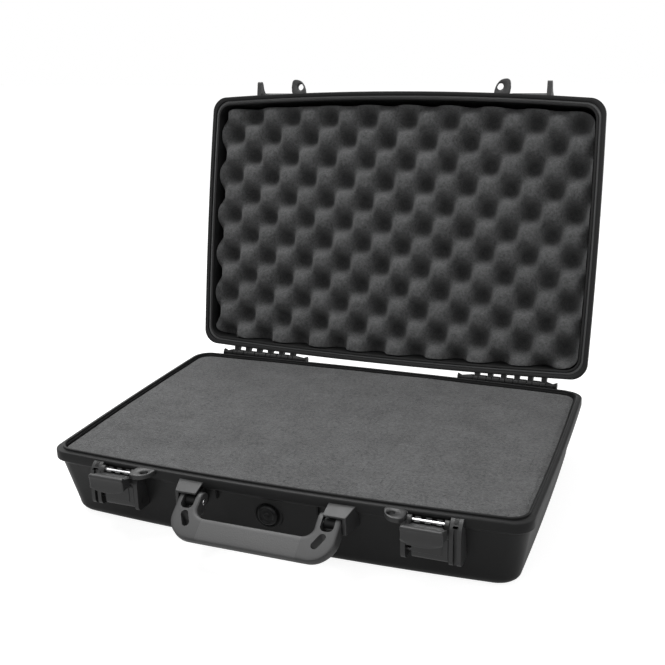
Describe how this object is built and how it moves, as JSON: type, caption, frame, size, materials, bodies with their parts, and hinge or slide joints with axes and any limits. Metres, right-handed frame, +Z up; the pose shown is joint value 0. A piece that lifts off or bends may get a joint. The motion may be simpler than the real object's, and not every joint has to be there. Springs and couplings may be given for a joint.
{
  "type": "laptop hard case",
  "caption": "Hard plastic laptop case standing open: foam-filled base and lid, hinged lid, folding front handle, flip-up latches, padlock lugs and a pressure vent.",
  "frame": {"origin": "centre of the underside of the base, in its resting plane, between the two side walls and midway between the closed case's front and back rims", "axes": "+X to the right along the front (seen from the front), +Y from the handle towards the hinges, +Z up; the lid stands open at its stop"},
  "size_m": [0.506, 0.5078, 0.4242],
  "materials": {
    "shell_black": "satin",
    "latch_black": "satin",
    "handle_black": "satin",
    "grip_rubber": "matte",
    "pin_steel": "satin",
    "cubed_foam": "matte",
    "pad_foam": "matte",
    "convoluted_foam": "matte",
    "seal_rubber": "matte",
    "vent_black": "satin",
    "vent_membrane": "matte"
  },
  "bodies": {
    "base": {"base_shell": "shell_black", "base_foam_pad": "pad_foam", "base_foam_cubed": "cubed_foam", "vent_body": "vent_black", "vent_seal": "seal_rubber", "vent_membrane": "vent_membrane", "vent_cap": "vent_black", "hinge_pin_right": "pin_steel", "hinge_pin_left": "pin_steel", "handle_pin_right": "pin_steel", "handle_pin_left": "pin_steel", "frame_pin_right": "pin_steel", "frame_pin_left": "pin_steel"},
    "lid": {"lid_shell": "shell_black", "lid_gasket": "seal_rubber", "lid_foam": "convoluted_foam"},
    "handle": {"handle_frame": "handle_black", "handle_grip": "grip_rubber"},
    "latch_frame_right": {"latch_frame_right": "latch_black", "lever_pin_right": "pin_steel"},
    "latch_lever_right": {"latch_lever_right": "latch_black"},
    "latch_frame_left": {"latch_frame_left": "latch_black", "lever_pin_left": "pin_steel"},
    "latch_lever_left": {"latch_lever_left": "latch_black"}
  },
  "joints": [
    {"name": "lid_hinge", "type": "hinge", "parent": "base", "child": "lid", "pos_m": [0, 0.17413, 0.07528], "axis": [1, 0, 0], "range_deg": [0, 102.5]},
    {"name": "handle_swing", "type": "hinge", "parent": "base", "child": "handle", "pos_m": [0, -0.17804, 0.056], "axis": [1, 0, 0], "range_deg": [-35, 52]},
    {"name": "latch_frame_swing_right", "type": "hinge", "parent": "base", "child": "latch_frame_right", "pos_m": [0.1612, -0.1692, 0.0395], "axis": [1, 0, 0], "range_deg": [0, 70]},
    {"name": "lever_flip_right", "type": "hinge", "parent": "latch_frame_right", "child": "latch_lever_right", "pos_m": [0.1612, -0.16864, 0.069], "axis": [-1, 0, 0], "range_deg": [0, 80]},
    {"name": "latch_frame_swing_left", "type": "hinge", "parent": "base", "child": "latch_frame_left", "pos_m": [-0.1612, -0.1692, 0.0395], "axis": [1, 0, 0], "range_deg": [0, 70]},
    {"name": "lever_flip_left", "type": "hinge", "parent": "latch_frame_left", "child": "latch_lever_left", "pos_m": [-0.1612, -0.16864, 0.069], "axis": [-1, 0, 0], "range_deg": [0, 80]}
  ]
}
